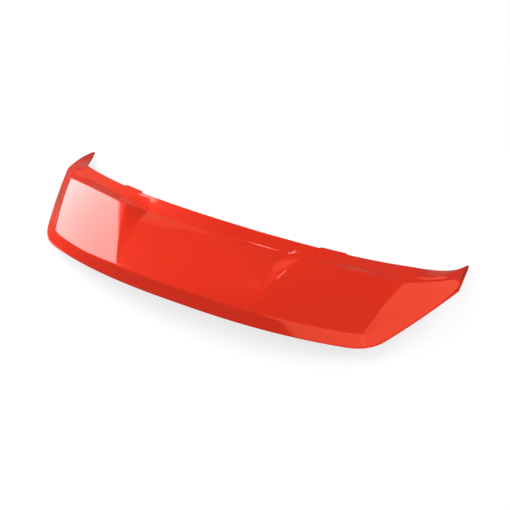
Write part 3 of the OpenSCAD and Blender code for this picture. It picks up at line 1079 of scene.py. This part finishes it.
def softbox(name, target, azimuths, rises, radiance, tint=(1, 1, 1), soft=False, shiny=True,
            reach=None):
    """A light that fills a window of directions as seen from the target.

    The radiance runs from the first value at the lower edge to the second at the upper edge,
    and fades out over the borders of the box. A reach of two distances makes the light fade
    out between them. Soft light falls on matt surfaces, and a shiny box shows in reflections.
    """
    wide, high = window_size(azimuths, rises)
    light = bpy.data.lights.new(name, "AREA")
    light.shape = "RECTANGLE"
    light.size, light.size_y = wide, high
    light.energy = math.pi * wide * high
    light.color = tint
    fade_box(light, radiance, reach)
    lamp = add_object(name, light)
    way = heading(sum(azimuths) / 2, sum(rises) / 2)
    side = unit(np.cross(vec(0, 0, 1), way))
    place = target + BOX_DISTANCE * way
    lamp.matrix_world = frame_matrix(side, np.cross(way, side), way, place)
    lamp.visible_camera = False
    lamp.visible_diffuse = soft
    lamp.visible_glossy = shiny


def fade_box(light, radiance, reach):
    """Shade an area light from its lower to its upper edge, with soft borders."""
    light.use_nodes = True
    tree = light.node_tree
    spot = tree.nodes.new("ShaderNodeNewGeometry")
    split = tree.nodes.new("ShaderNodeSeparateXYZ")
    tree.links.new(spot.outputs["Parametric"], split.inputs["Vector"])
    level = map_range(tree, split.outputs["Y"], (0.0, 1.0), radiance)
    for axis in ("X", "Y"):
        for ends in ((0.0, BORDER), (1.0, 1.0 - BORDER)):
            border = map_range(tree, split.outputs[axis], ends, (0.0, 1.0), "SMOOTHSTEP")
            level = combine(tree, "MULTIPLY", level, border)
    if reach:
        near, far = (distance * distance for distance in reach)
        ahead = squared_distance(tree, split, light)
        fading = map_range(tree, ahead, (near, far), (1.0, 0.0), "SMOOTHSTEP")
        level = combine(tree, "MULTIPLY", level, fading)
    tree.links.new(level, tree.nodes["Emission"].inputs["Strength"])


def squared_distance(tree, split, light):
    """About the squared distance from the light's middle to what it lights."""
    length = tree.nodes.new("ShaderNodeLightPath").outputs["Ray Length"]
    total = combine(tree, "MULTIPLY", length, length)
    for axis, size in (("X", light.size), ("Y", light.size_y)):
        aside = map_range(tree, split.outputs[axis], (0.0, 1.0), (-size / 2, size / 2))
        total = combine(tree, "SUBTRACT", total, combine(tree, "MULTIPLY", aside, aside))
    return total


def combine(tree, operation, a, b):
    node = tree.nodes.new("ShaderNodeMath")
    node.operation = operation
    tree.links.new(a, node.inputs[0])
    tree.links.new(b, node.inputs[1])
    return node.outputs["Value"]


def frame_matrix(x, y, z, at):
    """The matrix that turns an object's axes to x, y and z and moves it to a place."""
    return Matrix([(x[k], y[k], z[k], at[k]) for k in range(3)] + [(0, 0, 0, 1)])


def ray_switch(tree, camera, glossy, other):
    """A strength of its own for the camera's view, for reflections and for soft light."""
    path = tree.nodes.new("ShaderNodeLightPath")
    first = tree.nodes.new("ShaderNodeMix")
    first.inputs["A"].default_value = other
    first.inputs["B"].default_value = glossy
    tree.links.new(path.outputs["Is Glossy Ray"], first.inputs["Factor"])
    second = tree.nodes.new("ShaderNodeMix")
    second.inputs["B"].default_value = camera
    tree.links.new(first.outputs["Result"], second.inputs["A"])
    tree.links.new(path.outputs["Is Camera Ray"], second.inputs["Factor"])
    return second.outputs["Result"]


FLOOR_REACH = 30.0
FLOOR_CLEAR = 0.001
FLOOR_GREY = (0.3, 0.3, 0.3)


def floor_material():
    """A pale floor, bright to the camera, and transparent from below."""
    look = Nodes("studio floor", FLOOR_GREY, 1.0, Specular_IOR_Level=0.0)
    inputs = look.shader.inputs
    inputs["Emission Color"].default_value = (1, 1, 1, 1)
    glow = ray_switch(look.tree, camera=0.74, glossy=0.0, other=0.4)
    look.link(glow, inputs["Emission Strength"])
    backfacing = look.add("ShaderNodeNewGeometry").outputs["Backfacing"]
    look.link(map_range(look.tree, backfacing, (0.0, 1.0), (1.0, 0.0)), inputs["Alpha"])
    return look.material


def lay_floor():
    """A square just under the object, which reflections don't see."""
    z = cad_box[0][2] - FLOOR_CLEAR
    square = ((-1, -1), (1, -1), (1, 1), (-1, 1))
    mesh = bpy.data.meshes.new("floor")
    mesh.from_pydata([(x * FLOOR_REACH, y * FLOOR_REACH, z) for x, y in square], [], [(0, 1, 2, 3)])
    mesh.materials.append(floor_material())
    floor = add_object("floor", mesh)
    floor.visible_glossy = False


def light_backdrop():
    """A white backdrop, dim in reflections."""
    world = bpy.data.worlds.new("studio")
    bpy.context.scene.world = world
    world.use_nodes = True
    tree = world.node_tree
    background = tree.nodes["Background"]
    background.inputs["Color"].default_value = (1, 1, 1, 1)
    glow = ray_switch(tree, camera=1.0, glossy=0.08, other=0.53)
    tree.links.new(glow, background.inputs["Strength"])


lay_floor()
light_backdrop()

# What the boxes are aimed at, in metres, and their tints
POD_LEFT = vec(-0.33, 0.0, -0.05)
FLANK_RIGHT = vec(0.21, -0.05, -0.03)
FACET_RIGHT = vec(0.53, 0.06, -0.12)
LIP_RIGHT = vec(0.38, -0.16, -0.12)
MIDDLE = vec(0, -0.1, -0.03)
WARM = (1.0, 0.45, 0.26)
DEEP = (1.0, 0.22, 0.12)

# The bright patch on the left side panel, kept off the skin beyond the middle
softbox("left_box", POD_LEFT, (-122, -60), (0, 42.5), (4.2, 4.6), reach=(3.1, 3.35))
# A warm glow in the upper skin's other reflections
softbox("front_box", MIDDLE, (-56, -26), (3, 36), (0.35, 0.35), tint=WARM)
# The orange glow of the right side facet and of the right part of the lip
softbox("corner_box", LIP_RIGHT, (91, 117), (-24, 31), (1.2, 1.2), tint=WARM)
softbox("right_box", FACET_RIGHT, (35, 97), (-20, 50), (0.9, 1.3), tint=WARM)
softbox("rear_box", LIP_RIGHT, (112, 173), (-24, 40), (1.2, 1.3), tint=WARM)
# A dim red for what mirrors the ground in front, and neutral light for the metal underneath
softbox("low_box", MIDDLE, (-78, 10), (-32, -2), (0.25, 0.25), tint=DEEP)
softbox("under_box", MIDDLE, (-60, 60), (-88, -52), (0.8, 0.8))
# The bright line along the crease of the right flank
softbox("crease_box", FLANK_RIGHT, (-105, -25), (79, 89), (5.5, 5.5))
# The soft light of the room
softbox("key", MIDDLE, (-130, -60), (15, 60), (4.1, 4.1), soft=True, shiny=False)
softbox("side", MIDDLE, (60, 120), (-5, 35), (1.9, 1.9), soft=True, shiny=False)

# ---------------------------------------------------------------- camera
# The camera's angle, its distance in mm, and how far right of and above the origin it aims
AZIMUTH, LIFT = math.radians(26.11), math.radians(41.32)
DISTANCE = 2417
ASIDE, ABOVE = 88.8, -88.6
LENS, SENSOR = 70.75, 36


def place_camera():
    """Looks from the photograph's angle, from behind the object and to its right."""
    turn_x, turn_y = math.cos(AZIMUTH), math.sin(AZIMUTH)
    right = vec(turn_x, turn_y, 0)
    look = vec(-turn_y * math.cos(LIFT), turn_x * math.cos(LIFT), -math.sin(LIFT))
    up = vec(-turn_y * math.sin(LIFT), turn_x * math.sin(LIFT), math.cos(LIFT))
    data = bpy.data.cameras.new("camera")
    data.lens = LENS
    data.sensor_width = SENSOR
    camera = add_object("camera", data)
    eye = (ASIDE * right + ABOVE * up - DISTANCE * look) * MM
    camera.matrix_world = frame_matrix(right, up, -look, eye)
    bpy.context.scene.camera = camera


place_camera()
bpy.context.scene.view_settings.view_transform = "Standard"
